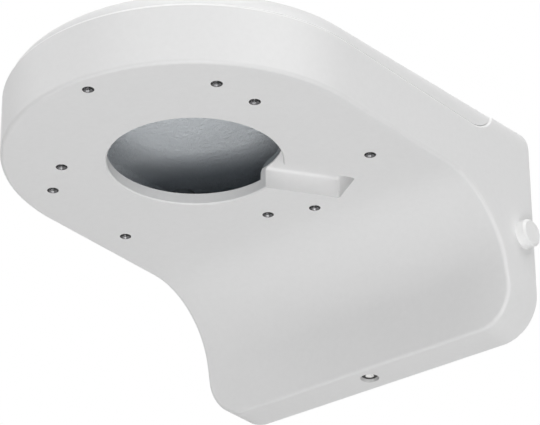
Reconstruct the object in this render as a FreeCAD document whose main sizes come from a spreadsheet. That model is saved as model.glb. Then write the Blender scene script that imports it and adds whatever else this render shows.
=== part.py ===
import FreeCAD, Part
import Sketcher
import math
import os

# Wall bracket for a dome camera: a die-cast arm with a round head, a screwed top cover, a steel
# plate on the wall that the arm hangs on, a lock screw from below and a plugged side cable entry.
#
# Frame: the wall is the plane Y = 0 and the bracket reaches out along -Y. X = 0 is the plane of
# symmetry and Z is up. The origin is the middle of the wall plate's four fixing slots.

SIZES = [
    ("Reach", 127.0, "wall to the axis of the round head"),
    ("HeadRadius", 80.0, "outside radius of the head at its lower edge"),
    ("SideTaper", 0.62, "each side opens towards the wall by this angle, degrees"),
    ("UndersideHeight", 6.0, "camera face above the middle of the wall fixings"),
    ("BoxDrop", 56.0, "camera face down to the bottom of the wall box"),
    ("FrontRise", 36.5, "camera face up to the top, at the front of the head"),
    ("WallRise", 44.2, "camera face up to the top, at the wall"),
    ("PlateThickness", 5.1, "thickness of the camera plate and of the swept front"),
    ("WallThickness", 3.5, "thickness of the casting's side walls"),
    ("SweepStart", 59.5, "wall to the line where the camera face starts to turn down"),
    ("SweepRadius", 38.0, "radius of the sweep between the camera face and the box front"),
    ("FrontLean", 10.0, "draft of the box front, degrees"),
    ("CornerRadius", 18.0, "lower corners of the wall box"),
    ("TopRadius", 13.0, "rounding along the top edge"),
    ("LowerEdgeRadius", 1.6, "rounding along the lower edge"),
    ("RimGap", 0.3, "rear rim to the wall, taken up by the gasket"),
    ("PartingRise", 27.2, "camera face up to the rim that the cover sits on"),
    ("StepStart", 42.5, "wall to where the rim starts to climb to the box top"),
    ("StepRadius", 19.0, "radius at the foot of that climb"),
    ("StepRamp", 48.0, "slope of the climb above that radius, degrees"),
    ("RimEdgeRadius", 1.2, "rounding along the outside of the rim"),
    ("StepTopRadius", 3.5, "rounding where the climb meets the box top"),
    ("CoverReveal", 0.45, "cover set in from the casting all round"),
    ("CoverThickness", 2.5, "roof of the cover"),
    ("JointGap", 0.3, "cover's rear end to the step"),
    ("CoverWall", 2.8, "side wall of the cover"),
    ("CoverRoomBevel", 6.4, "bevel inside the cover, between its roof and its side wall"),
    ("LedgeDepth", 4.0, "ledge of the casting in front of the step, under the cover's rear end"),
    ("LipClearance", 0.25, "cover's locating lip to the casting's wall"),
    ("LipThickness", 1.4, "locating lip"),
    ("LipDepth", 3.0, "locating lip below the rim"),
    ("LipRise", 3.0, "foot of the cover above the rim"),
    ("MouthDepth", 6.0, "straight part of the casting's walls below the rim"),
    ("RootDepth", 2.0, "ribs, posts and bosses let into the wall that they stand on"),
    ("Excess", 1.0, "cuts taken past the face that they open into"),
    ("CableHoleRadius", 36.4, "round cable opening in the camera plate"),
    ("CableHoleEdge", 0.6, "small bevel round that opening"),
    ("InnerCircleRadius", 55.1, "inner circle of camera screws"),
    ("InnerCircleAngle", 65.6, "its first hole, degrees from the front towards +X"),
    ("MiddleCircleRadius", 64.2, "middle circle of camera screws"),
    ("MiddleCircleAngle", 47.7, "its first hole, degrees from the front towards +X"),
    ("OuterCircleRadius", 72.2, "outer circle of camera screws"),
    ("OuterCircleAngle", 4.5, "its first hole, degrees from the front towards +X"),
    ("ThreadCoreRadius", 1.65, "core of the M4 threads in the casting"),
    ("ThreadMouthRadius", 2.45, "countersunk mouth of the M4 threads"),
    ("ThreadMouthDepth", 0.8, "depth of that mouth"),
    ("BossRadius", 4.2, "bosses behind the camera screw holes"),
    ("BossRise", 3.5, "those bosses above the camera plate"),
    ("TroughAngle", 31.3, "cable trough, degrees from the wall direction towards +X"),
    ("TroughEnd", 67.3, "head axis to the closed end of the trough"),
    ("TroughStart", 30.0, "head axis to where the cut for the trough begins, inside the cable opening"),
    ("TroughInnerHalf", 10.8, "half width of the trough where its cut begins"),
    ("TroughOuterHalf", 9.1, "half width of the trough at its closed end"),
    ("TroughDepth", 9.4, "trough above the camera face"),
    ("TroughWall", 3.0, "wall of the hump over the trough"),
    ("TroughRoofRadius", 1.4, "rounding inside the trough's roof"),
    ("HumpRadius", 5.5, "rounding of the hump over the trough"),
    ("PostRadius", 4.6, "posts that take the cover screws"),
    ("PostGap", 0.2, "posts below the cover's pillars"),
    ("FrontPostSide", 33.0, "front posts from the plane of symmetry"),
    ("FrontPostInset", 23.0, "front of the head to the front posts"),
    ("RearPostInset", 11.0, "side of the head to the rear posts"),
    ("RearPostWall", 54.0, "wall to the rear posts"),
    ("PillarRadius", 6.0, "pillars of the cover round its screws"),
    ("FrontSeatRise", 6.2, "seats of the front cover screws above the rim"),
    ("RearSeatRise", 10.3, "seats of the rear cover screws above the rim"),
    ("CoverScrewRadius", 2.0, "shank of the cover screws"),
    ("CoverScrewLength", 19.0, "cover screws below the head"),
    ("CoverScrewEnd", 1.5, "thread holes past the ends of the cover screws"),
    ("CoverHeadRadius", 3.8, "heads of the cover screws"),
    ("CoverHeadHeight", 2.4, "heads of the cover screws"),
    ("HeadEdge", 0.4, "rounding of the screw heads"),
    ("ScrewClearance", 0.25, "screw shanks to their clearance holes"),
    ("ThreadClearance", 0.05, "screw shanks to the flanks of their threads"),
    ("HeadClearance", 0.4, "screw heads and seals to their counterbores"),
    ("CoverSocketRadius", 1.45, "six-sided socket of the cover screws, across its corners"),
    ("LockSocketRadius", 1.75, "six-sided socket of the lock screw, across its corners"),
    ("SocketDepth", 1.4, "depth of those sockets"),
    ("WallPlateThickness", 2.0, "steel plate on the wall"),
    ("WallPlateHalfWidth", 66.0, "half width of the steel plate"),
    ("WallPlateHalfHeight", 34.0, "half height of the steel plate"),
    ("WallPlateCorner", 8.0, "corners of the steel plate"),
    ("WallCableRadius", 22.0, "cable hole in the steel plate"),
    ("FixingSide", 50.0, "wall fixing slots from the plane of symmetry"),
    ("FixingUp", 25.0, "wall fixing slots above and below the origin"),
    ("FixingRadius", 3.0, "half width of the wall fixing slots"),
    ("FixingSlot", 6.0, "length of the fixing slots between their end centres"),
    ("HookSide", 34.0, "hooks from the plane of symmetry"),
    ("HookHalfWidth", 9.0, "half width of each hook"),
    ("HookReach", 11.0, "wall to the inside of the hook's upturned end"),
    ("HookLip", 5.5, "upturned end of the hook above its shelf"),
    ("HookDrop", 9.0, "hook shelf below the inside of the box top"),
    ("BendRadius", 1.2, "inside radius of the bends in the steel plate"),
    ("RibDepth", 5.0, "cast rib that hangs in the hook, from front to back"),
    ("RibHalfWidth", 11.0, "half width of that rib"),
    ("RibClearance", 0.5, "rib to the hook's upturned end"),
    ("RibEdge", 1.3, "rounding along the rib's lower edges"),
    ("TabHalfWidth", 14.0, "half width of the lower tab of the steel plate"),
    ("TabReach", 13.3, "wall to the front end of the lower tab"),
    ("TabClearance", 0.8, "lower tab above the pad round the lock screw"),
    ("NutRadius", 3.9, "threaded collar on the lower tab"),
    ("NutHeight", 3.0, "threaded collar on the lower tab"),
    ("LockSetback", 9.7, "wall to the axis of the lock screw"),
    ("LockScrewRadius", 2.5, "shank of the M5 lock screw"),
    ("LockScrewLength", 10.0, "lock screw above its head"),
    ("LockHeadRadius", 3.7, "head of the lock screw"),
    ("LockHeadHeight", 2.4, "head of the lock screw"),
    ("LockRecess", 1.2, "lock screw's head below the bottom face"),
    ("LockPadRadius", 7.0, "thicker pad round the lock screw inside the box"),
    ("LockPadRise", 2.4, "that pad above the inside of the box bottom"),
    ("RebateWall", 1.1, "wall left outside the gasket's rebate"),
    ("GasketFit", 0.2, "gasket to the side of its rebate"),
    ("GasketThickness", 2.0, "thickness of the wall gasket"),
    ("PlugDrop", 13.0, "axis of the side cable entry below the camera face"),
    ("PlugSetback", 7.8, "wall to the axis of the side cable entry"),
    ("PlugHeadRadius", 6.1, "head of the cable entry plug"),
    ("PlugHeadHeight", 4.7, "head of the cable entry plug"),
    ("PlugHeadBevel", 0.9, "bevel round the outer end of the plug's head"),
    ("PlugShankRadius", 4.0, "shank of the cable entry plug"),
    ("PlugFit", 0.15, "plug shank to the bore in the side wall"),
    ("PlugGrip", 0.3, "wall's inner face to the plug's ridge"),
    ("PlugRidge", 0.45, "ridge that snaps in behind the wall, above the shank"),
    ("PlugRidgeLength", 1.4, "that ridge along the plug"),
    ("PlugShankLength", 7.0, "plug inside the outer face"),
    ("SealRadius", 5.3, "rubber ring under the plug's head"),
    ("SealFit", 0.1, "rubber ring to the plug's shank"),
    ("SealThickness", 0.9, "rubber ring under the plug's head"),
]

document = FreeCAD.newDocument("camera_wall_bracket")
sheet = document.addObject("Spreadsheet::Sheet", "Sizes")
size = {}
for row, (alias, value, meaning) in enumerate(SIZES, start=1):
    sheet.set("A%d" % row, alias)
    sheet.set("B%d" % row, str(value))
    sheet.set("C%d" % row, meaning)
    sheet.setAlias("B%d" % row, alias)
    size[alias] = value
document.recompute()

FAR = 400.0
MIDDLE = "0"


def total(text):
    """Adds up a sum written as names and numbers, such as 'Reach - HeadRadius'."""
    result = 0.0
    sign = 1.0
    for word in text.split():
        if word in ("+", "-"):
            sign = 1.0 if word == "+" else -1.0
        elif word in size:
            result += sign * size[word]
        else:
            result += sign * float(word)
    return result


def bound(text):
    """The same sum as an expression on the sheet."""
    return " ".join("Sizes." + word if word in size else word for word in text.split())


def less(base, text):
    """The sum `base` less every term of the sum `text`."""
    return base + " - " + text.replace(" + ", " - ")


def point(x, y):
    return FreeCAD.Vector(x, y, 0)


def middle(face):
    low_u, high_u, low_v, high_v = face.ParameterRange
    return (low_u + high_u) / 2, (low_v + high_v) / 2


def touches(shape, edge):
    return [face for face in shape.Faces if any(edge.isSame(other) for other in face.Edges)]


# Sketches

def new_body(name):
    body = document.addObject("PartDesign::Body", name)
    body.Label = name
    return body


def new_sketch(body, name, plane, height=None):
    """A sketch on one of the body's own origin planes, raised along its normal by a sum of sizes."""
    sketch = body.newObject("Sketcher::SketchObject", name)
    support = next(item for item in body.Origin.OriginFeatures if item.Role == plane)
    sketch.AttachmentSupport = [(support, "")]
    sketch.MapMode = "FlatFace"
    if height is not None:
        sketch.setExpression("AttachmentOffset.Base.z", bound(height))
    return sketch


def fix(sketch, name, kind, *words):
    """Adds a dimension named after its sum of sizes and binds it to the sheet."""
    text = words[-1]
    index = sketch.addConstraint(Sketcher.Constraint(kind, *words[:-1], total(text)))
    sketch.renameConstraint(index, name)
    sketch.setExpression("Constraints." + name, bound(text))
    return index


def lean_line(sketch, name, line, degrees, expression):
    """Holds a line at an angle from the sketch's X axis."""
    index = sketch.addConstraint(Sketcher.Constraint("Angle", line, math.radians(degrees)))
    sketch.renameConstraint(index, name)
    sketch.setExpression("Constraints." + name, expression)


def place_point(sketch, index, corner, x, y, name):
    """Ties one point of a sketch to the sketch's origin by two sums of sizes."""
    if x == MIDDLE:
        sketch.addConstraint(Sketcher.Constraint("PointOnObject", index, corner, -2))
    else:
        fix(sketch, name + "X", "DistanceX", -1, 1, index, corner, x)
    if y == MIDDLE:
        sketch.addConstraint(Sketcher.Constraint("PointOnObject", index, corner, -1))
    else:
        fix(sketch, name + "Y", "DistanceY", -1, 1, index, corner, y)


def outline(sketch, corners, name="Corner"):
    """A closed outline of straight lines. Each corner is a pair of sums of sizes."""
    spots = [(total(x), total(y)) for x, y in corners]
    lines = []
    for start, end in zip(spots, spots[1:] + spots[:1]):
        lines.append(sketch.addGeometry(Part.LineSegment(point(*start), point(*end)), False))
    for first, second in zip(lines, lines[1:] + lines[:1]):
        sketch.addConstraint(Sketcher.Constraint("Coincident", first, 2, second, 1))
    for number, (line, (x, y)) in enumerate(zip(lines, corners), start=1):
        place_point(sketch, line, 1, x, y, "%s%d" % (name, number))
    return lines


def circle(sketch, x, y, radius, name):
    """A circle whose centre and radius are sums of sizes."""
    spot = point(total(x), total(y))
    index = sketch.addGeometry(Part.Circle(spot, FreeCAD.Vector(0, 0, 1), total(radius)), False)
    fix(sketch, name + "Radius", "Radius", index, radius)
    place_point(sketch, index, 3, x, y, name)
    return index


def slot(sketch, x, y, length, radius, name):
    """A level slot between two end centres that are `length` apart."""
    left, right = total(x) - total(length) / 2, total(x) + total(length) / 2
    level, bend = total(y), total(radius)
    low, high = level - bend, level + bend
    up = FreeCAD.Vector(0, 0, 1)
    near = sketch.addGeometry(
        Part.ArcOfCircle(Part.Circle(point(left, level), up, bend), math.pi / 2, 3 * math.pi / 2), False)
    below = sketch.addGeometry(Part.LineSegment(point(left, low), point(right, low)), False)
    far = sketch.addGeometry(
        Part.ArcOfCircle(Part.Circle(point(right, level), up, bend), -math.pi / 2, math.pi / 2), False)
    above = sketch.addGeometry(Part.LineSegment(point(right, high), point(left, high)), False)
    centre = sketch.addGeometry(Part.Point(point(total(x), level)), True)
    sketch.addConstraint(Sketcher.Constraint("Tangent", near, 2, below, 1))
    sketch.addConstraint(Sketcher.Constraint("Tangent", below, 2, far, 1))
    sketch.addConstraint(Sketcher.Constraint("Tangent", far, 2, above, 1))
    sketch.addConstraint(Sketcher.Constraint("Tangent", above, 2, near, 1))
    sketch.addConstraint(Sketcher.Constraint("Horizontal", below))
    sketch.addConstraint(Sketcher.Constraint("Symmetric", near, 3, far, 3, centre, 1))
    fix(sketch, name + "Bend", "Radius", near, radius)
    fix(sketch, name + "Length", "DistanceX", near, 3, far, 3, length)
    place_point(sketch, centre, 1, x, y, name)


# Features of a body

def pad(body, sketch, name, length, both_ways=False):
    feature = body.newObject("PartDesign::Pad", name)
    feature.Profile = sketch
    feature.setExpression("Length", bound(length))
    feature.Midplane = both_ways
    sketch.Visibility = False
    document.recompute()
    return feature


def cut_through(body, sketch, name):
    """A pocket through everything on both sides of the sketch."""
    volume = body.Shape.Volume
    feature = body.newObject("PartDesign::Pocket", name)
    feature.Profile = sketch
    feature.Type = "ThroughAll"
    feature.Midplane = True
    sketch.Visibility = False
    document.recompute()
    if not feature.Shape.Volume < volume:
        raise RuntimeError(name + " removes nothing")
    return feature


def turn_profile(body, name, plane, axis, corners):
    """A solid of revolution about one of the sketch's own axes."""
    sketch = new_sketch(body, name + "_profile", plane)
    outline(sketch, corners)
    feature = body.newObject("PartDesign::Revolution", name)
    feature.Profile = sketch
    feature.ReferenceAxis = (sketch, [axis])
    feature.Angle = 360
    sketch.Visibility = False
    document.recompute()
    return feature


def edge_feature(body, kind, name, prop, amount, chosen):
    """Works the edges of the body's tip that the test `chosen` accepts."""
    base = body.Tip
    shape = base.Shape
    names = ["Edge%d" % number for number, edge in enumerate(shape.Edges, start=1) if chosen(shape, edge)]
    if not names:
        raise RuntimeError(name + " finds no edge")
    feature = body.newObject("PartDesign::" + kind, name)
    feature.Base = (base, names)
    feature.setExpression(prop, bound(amount))
    document.recompute()
    return feature


def round_edges(body, name, radius, chosen):
    return edge_feature(body, "Fillet", name, "Radius", radius, chosen)


def bevel_edges(body, name, width, chosen):
    return edge_feature(body, "Chamfer", name, "Size", width, chosen)


def along_x_at(spots):
    """Accepts edges that run along X through one of the given (y, z) spots, sums of sizes."""
    wanted = [(total(y), total(z)) for y, z in spots]

    def chosen(shape, edge):
        ends = [vertex.Point for vertex in edge.Vertexes]
        if len(ends) != 2 or abs(ends[0].x - ends[1].x) < 1:
            return False
        return any(all(abs(end.y - y) < 1e-4 and abs(end.z - z) < 1e-4 for end in ends) for y, z in wanted)

    return chosen


# Joining solids

def cut(name, base, tool):
    feature = document.addObject("Part::Cut", name)
    feature.Base = base
    feature.Tool = tool
    feature.Refine = True
    document.recompute()
    return feature


def fuse(name, shapes):
    feature = document.addObject("Part::MultiFuse", name)
    feature.Shapes = shapes
    feature.Refine = True
    document.recompute()
    return feature


def common(name, shapes):
    feature = document.addObject("Part::MultiCommon", name)
    feature.Shapes = shapes
    feature.Refine = True
    document.recompute()
    return feature


def bind(feature, **expressions):
    """Binds properties of a primitive to sums of sizes. x, y and z are its position."""
    for key, text in expressions.items():
        target = "Placement.Base." + key if key in ("x", "y", "z") else key
        feature.setExpression(target, bound(text))
    document.recompute()
    return feature


def turn_about_z(feature, text):
    feature.Placement.Rotation = FreeCAD.Rotation(FreeCAD.Vector(0, 0, 1), 1.0)
    feature.setExpression("Placement.Rotation.Angle", bound(text))
    document.recompute()
    return feature


def cylinder(name, radius, height, x, y, z):
    return bind(document.addObject("Part::Cylinder", name), Radius=radius, Height=height, x=x, y=y, z=z)


def cone(name, low_radius, high_radius, height, x, y, z):
    feature = document.addObject("Part::Cone", name)
    return bind(feature, Radius1=low_radius, Radius2=high_radius, Height=height, x=x, y=y, z=z)


def box(name, left, front, low, width, depth, height):
    """A box from its corner at the left, the front and below."""
    feature = document.addObject("Part::Box", name)
    return bind(feature, Length=width, Width=depth, Height=height, x=left, y=front, z=low)


def on_head_circle(feature, radius, angle, step):
    """Moves a primitive to a polar position round the head's axis, counted from the front towards +X."""
    spot = "Sizes.%s * %s(Sizes.%s + %d)"
    feature.setExpression("Placement.Base.x", spot % (radius, "sin", angle, step))
    feature.setExpression("Placement.Base.y", "0 - Sizes.Reach - " + spot % (radius, "cos", angle, step))
    document.recompute()
    return feature


# The bracket's form

def plan_sketch(body, name, inset, rear, low):
    """Plan outline: the round head with sides tangent to it, set in by `inset`, ending at `rear`."""
    taper = math.radians(total("SideTaper"))
    radius = total(less("HeadRadius", inset))
    reach, end = total("Reach"), total(rear)
    foot = (radius * math.cos(taper), -reach + radius * math.sin(taper))
    corner = (radius / math.cos(taper) + (reach + end) * math.tan(taper), end)
    plan = new_sketch(body, name + "_plan", "XY_Plane", low)
    axis = Part.Circle(point(0, -reach), FreeCAD.Vector(0, 0, 1), radius)
    head = plan.addGeometry(Part.ArcOfCircle(axis, math.pi - taper, 2 * math.pi + taper), False)
    right = plan.addGeometry(Part.LineSegment(point(*foot), point(*corner)), False)
    back = plan.addGeometry(Part.LineSegment(point(*corner), point(-corner[0], end)), False)
    left = plan.addGeometry(Part.LineSegment(point(-corner[0], end), point(-foot[0], foot[1])), False)
    plan.addConstraint(Sketcher.Constraint("Tangent", head, 2, right, 1))
    plan.addConstraint(Sketcher.Constraint("Coincident", right, 2, back, 1))
    plan.addConstraint(Sketcher.Constraint("Coincident", back, 2, left, 1))
    plan.addConstraint(Sketcher.Constraint("Tangent", left, 2, head, 1))
    plan.addConstraint(Sketcher.Constraint("PointOnObject", head, 3, -2))
    plan.addConstraint(Sketcher.Constraint("Symmetric", back, 1, back, 2, -2))
    fix(plan, "Reach", "DistanceY", head, 3, -1, 1, "Reach")
    fix(plan, "Radius", "Radius", head, less("HeadRadius", inset))
    if rear == MIDDLE:
        plan.addConstraint(Sketcher.Constraint("PointOnObject", back, 1, -1))
    else:
        fix(plan, "Rear", "DistanceY", -1, 1, back, 1, rear)
    lean_line(plan, "Taper", right, 90 - total("SideTaper"), "90 - Sizes.SideTaper")
    return plan


def prism(name, inset, rear, low, height):
    body = new_body(name)
    pad(body, plan_sketch(body, name, inset, rear, low), name + "_block", height)
    return body


def under_sketch(body, name, floor):
    """Everything below the camera face, the sweep and the box front, from the side."""
    lean = math.radians(total("FrontLean"))
    bend = total("SweepRadius + " + floor)
    centre = (-total("SweepStart"), total("UndersideHeight - SweepRadius"))
    face = centre[1] + bend
    turn = (centre[0] + bend * math.cos(lean), centre[1] + bend * math.sin(lean))
    under = centre[1] - total("BoxDrop")
    toe = (turn[0] + (turn[1] - under) * math.tan(lean), under)
    profile = new_sketch(body, name + "_under", "YZ_Plane")
    axis = Part.Circle(point(*centre), FreeCAD.Vector(0, 0, 1), bend)
    flat = profile.addGeometry(Part.LineSegment(point(-FAR, face), point(centre[0], face)), False)
    sweep = profile.addGeometry(Part.ArcOfCircle(axis, lean, math.pi / 2), False)
    front = profile.addGeometry(Part.LineSegment(point(*turn), point(*toe)), False)
    low_line = profile.addGeometry(Part.LineSegment(point(*toe), point(-FAR, under)), False)
    far_line = profile.addGeometry(Part.LineSegment(point(-FAR, under), point(-FAR, face)), False)
    profile.addConstraint(Sketcher.Constraint("Tangent", flat, 2, sweep, 2))
    profile.addConstraint(Sketcher.Constraint("Tangent", sweep, 1, front, 1))
    profile.addConstraint(Sketcher.Constraint("Coincident", front, 2, low_line, 1))
    profile.addConstraint(Sketcher.Constraint("Coincident", low_line, 2, far_line, 1))
    profile.addConstraint(Sketcher.Constraint("Coincident", far_line, 2, flat, 1))
    profile.addConstraint(Sketcher.Constraint("Horizontal", flat))
    profile.addConstraint(Sketcher.Constraint("Horizontal", low_line))
    profile.addConstraint(Sketcher.Constraint("Vertical", far_line))
    fix(profile, "Start", "DistanceX", sweep, 3, -1, 1, "SweepStart")
    fix(profile, "Centre", "DistanceY", -1, 1, sweep, 3, "UndersideHeight - SweepRadius")
    fix(profile, "Bend", "Radius", sweep, "SweepRadius + " + floor)
    fix(profile, "Below", "DistanceY", low_line, 1, sweep, 3, "BoxDrop")
    fix(profile, "Ahead", "DistanceX", far_line, 1, -1, 1, str(FAR))
    lean_line(profile, "Lean", front, total("FrontLean") - 90, "Sizes.FrontLean - 90")
    return profile


def roof_sketch(body, name, top):
    """Everything above the sloping roof, from the side."""
    nose = -total("Reach + HeadRadius")
    low = total(less("UndersideHeight + FrontRise", top))
    high = total(less("UndersideHeight + WallRise", top))
    slope = (high - low) / -nose
    behind = FAR / 4
    spots = [(-FAR, low + slope * (-FAR - nose)), (0, high), (behind, high + slope * behind),
             (behind, FAR / 2), (-FAR, FAR / 2)]
    roof = new_sketch(body, name + "_roof", "YZ_Plane")
    lines = []
    for start, end in zip(spots, spots[1:] + spots[:1]):
        lines.append(roof.addGeometry(Part.LineSegment(point(*start), point(*end)), False))
    for first, second in zip(lines, lines[1:] + lines[:1]):
        roof.addConstraint(Sketcher.Constraint("Coincident", first, 2, second, 1))
    over_nose = roof.addGeometry(Part.Point(point(nose, low)), True)
    roof.addConstraint(Sketcher.Constraint("PointOnObject", over_nose, 1, lines[0]))
    roof.addConstraint(Sketcher.Constraint("Parallel", lines[0], lines[1]))
    roof.addConstraint(Sketcher.Constraint("Vertical", lines[2]))
    roof.addConstraint(Sketcher.Constraint("Horizontal", lines[3]))
    roof.addConstraint(Sketcher.Constraint("Vertical", lines[4]))
    fix(roof, "Nose", "DistanceX", over_nose, 1, -1, 1, "Reach + HeadRadius")
    fix(roof, "Low", "DistanceY", -1, 1, over_nose, 1, less("UndersideHeight + FrontRise", top))
    place_point(roof, lines[0], 2, MIDDLE, less("UndersideHeight + WallRise", top), "High")
    fix(roof, "Ahead", "DistanceX", lines[0], 1, -1, 1, str(FAR))
    fix(roof, "Behind", "DistanceX", -1, 1, lines[2], 1, str(behind))
    fix(roof, "Above", "DistanceY", -1, 1, lines[3], 1, str(FAR / 2))
    return roof


def roof_edge(shape, edge):
    """Edges between the roof and the head or the sides."""
    faces = touches(shape, edge)
    roofs = [face for face in faces if face.normalAt(*middle(face)).z > 0.9]
    walls = [face for face in faces if abs(face.normalAt(*middle(face)).z) < 0.1]
    return len(roofs) == 1 and len(walls) == 1 and walls[0].normalAt(*middle(walls[0])).y < 0.5


def form(name, inset, floor, rear, drop, top):
    """The bracket's whole outer form, or the same form set in by a wall.

    inset is the wall that the plan outline is set in by, floor the thickness above the camera face,
    rear the plane where it ends, drop the wall at the box bottom and top the set-in of the roof.
    """
    low = "UndersideHeight - BoxDrop + " + drop
    body = prism(name, inset, rear, low, less("BoxDrop + WallRise + SweepRadius", drop))
    cut_through(body, under_sketch(body, name, floor), name + "_sweep")
    cut_through(body, roof_sketch(body, name, top), name + "_slope")
    floor_level = total(low)

    def lower_corner(shape, edge):
        ends = [vertex.Point for vertex in edge.Vertexes]
        if len(ends) != 2 or any(abs(end.z - floor_level) > 1e-4 for end in ends):
            return False
        return abs(ends[0].y - ends[1].y) > 1 and abs(ends[0].x) > 1

    round_edges(body, name + "_lower_corners", less("CornerRadius", drop), lower_corner)
    round_edges(body, name + "_roof_edge", less("TopRadius", top), roof_edge)
    return body


def lower_loop(shape, edge):
    """Edges with a swept face on one side and an outer wall or the box bottom on the other."""
    faces = touches(shape, edge)
    if len(faces) != 2 or not all(vertex.Point.y < -total("RimGap") - 1e-3 for vertex in edge.Vertexes):
        return False
    spot = edge.valueAt((edge.FirstParameter + edge.LastParameter) / 2)
    if spot.z > total("UndersideHeight") + 1e-3:
        return False
    first, second = [face.normalAt(*middle(face)) for face in faces]
    return first.getAngle(second) > math.radians(20)


def step_sketch(body, name, rise, shift, radius, ahead):
    """From the side: everything above the rim and in front of the climb, an arc and then a ramp."""
    floor = total("UndersideHeight + PartingRise + " + rise)
    centre = -total("StepStart + " + shift)
    bend = total(radius)
    ramp = math.radians(total("StepRamp"))
    front = -total(ahead)
    high = FAR / 2
    foot = (centre + bend * math.sin(ramp), floor + bend - bend * math.cos(ramp))
    head = (foot[0] + (high - foot[1]) / math.tan(ramp), high)
    sketch = new_sketch(body, name + "_profile", "YZ_Plane")
    axis = Part.Circle(point(centre, floor + bend), FreeCAD.Vector(0, 0, 1), bend)
    flat = sketch.addGeometry(Part.LineSegment(point(front, floor), point(centre, floor)), False)
    climb = sketch.addGeometry(Part.ArcOfCircle(axis, -math.pi / 2, ramp - math.pi / 2), False)
    rear = sketch.addGeometry(Part.LineSegment(point(*foot), point(*head)), False)
    above = sketch.addGeometry(Part.LineSegment(point(*head), point(front, high)), False)
    before = sketch.addGeometry(Part.LineSegment(point(front, high), point(front, floor)), False)
    sketch.addConstraint(Sketcher.Constraint("Tangent", flat, 2, climb, 1))
    sketch.addConstraint(Sketcher.Constraint("Tangent", climb, 2, rear, 1))
    sketch.addConstraint(Sketcher.Constraint("Coincident", rear, 2, above, 1))
    sketch.addConstraint(Sketcher.Constraint("Coincident", above, 2, before, 1))
    sketch.addConstraint(Sketcher.Constraint("Coincident", before, 2, flat, 1))
    sketch.addConstraint(Sketcher.Constraint("Horizontal", flat))
    sketch.addConstraint(Sketcher.Constraint("Horizontal", above))
    sketch.addConstraint(Sketcher.Constraint("Vertical", before))
    fix(sketch, "Bend", "Radius", climb, radius)
    fix(sketch, "Start", "DistanceX", climb, 3, -1, 1, "StepStart + " + shift)
    fix(sketch, "Floor", "DistanceY", -1, 1, flat, 1, "UndersideHeight + PartingRise + " + rise)
    fix(sketch, "Ahead", "DistanceX", flat, 1, -1, 1, ahead)
    fix(sketch, "Above", "DistanceY", -1, 1, above, 1, str(high))
    lean_line(sketch, "Ramp", rear, total("StepRamp"), "Sizes.StepRamp")
    return sketch


def step_block(name, rise, shift, radius, ahead):
    body = new_body(name)
    pad(body, step_sketch(body, name, rise, shift, radius, ahead), name + "_block", str(FAR), True)
    return body


# Casting: the form below the rim and behind the step, with a plain wall below the rim
RIM = "UndersideHeight + PartingRise"
casting_form = form("casting_form", "0", "0", "0 - RimGap", "0", "0")
cut_through(casting_form, step_sketch(casting_form, "casting_step", "0", "0", "StepRadius", str(FAR)),
            "casting_open_top")
round_edges(casting_form, "casting_lower_edge", "LowerEdgeRadius", lower_loop)
rim_band = prism("rim_band", "0", "0 - StepStart", RIM + " - MouthDepth", "MouthDepth")
casting_block = fuse("casting_block", [casting_form, rim_band])


def is_step(face):
    """The rim looks straight up, the arc and the ramp up and forward; the roof only leans a little."""
    normal = face.normalAt(*middle(face))
    return abs(normal.x) < 1e-6 and normal.z > 0.5 and (abs(normal.y) < 1e-3 or normal.y < -0.2)


def rim_edges(shape):
    """The outer edges of rim and step, each with the rounding at its last and at its first point."""
    rim = total(RIM)
    ramp_foot = rim + total("StepRadius") * (1 - math.cos(math.radians(total("StepRamp"))))

    def rounding(vertex):
        return total("StepTopRadius" if vertex.Point.z > ramp_foot + 1 else "RimEdgeRadius")

    chosen = []
    for number, edge in enumerate(shape.Edges, start=1):
        first, last = edge.Vertexes[0], edge.Vertexes[-1]
        borders_step = sum(is_step(face) for face in touches(shape, edge)) == 1
        if borders_step and min(first.Point.z, last.Point.z) > rim - 1e-3:
            chosen.append((number, rounding(last), rounding(first)))
    return chosen


casting = document.addObject("Part::Fillet", "casting")
casting.Base = casting_block
casting.Edges = rim_edges(casting_block.Shape)
document.recompute()

INNER_FACE = "UndersideHeight + PlateThickness"
ROOT = INNER_FACE + " - RootDepth"
BOX_FLOOR = "UndersideHeight - BoxDrop + WallThickness"
BOX_ROOF = "UndersideHeight + WallRise - WallThickness"

cavity = form("cavity", "WallThickness", "PlateThickness", "Excess", "WallThickness", "WallThickness")
step_wall = step_block("step_wall", "0 - WallThickness", "0", "StepRadius + WallThickness",
                       "StepStart + LedgeDepth")
mouth = prism("mouth", "WallThickness", "0 - StepStart - LedgeDepth", RIM + " - MouthDepth",
              "MouthDepth + WallRise")
hollow = fuse("hollow", [cut("cavity_below_step", cavity, step_wall), mouth])

rebate_form = form("rebate_form", "RebateWall", "0", "Excess", "RebateWall", "RebateWall")
rebate_slab = box("rebate_slab", "0 - Reach", "0 - GasketThickness", "0 - BoxDrop - BoxDrop",
                  "Reach + Reach", "GasketThickness + Excess", "BoxDrop + BoxDrop + BoxDrop + BoxDrop")
rebate = common("rebate", [rebate_form, rebate_slab])

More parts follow.
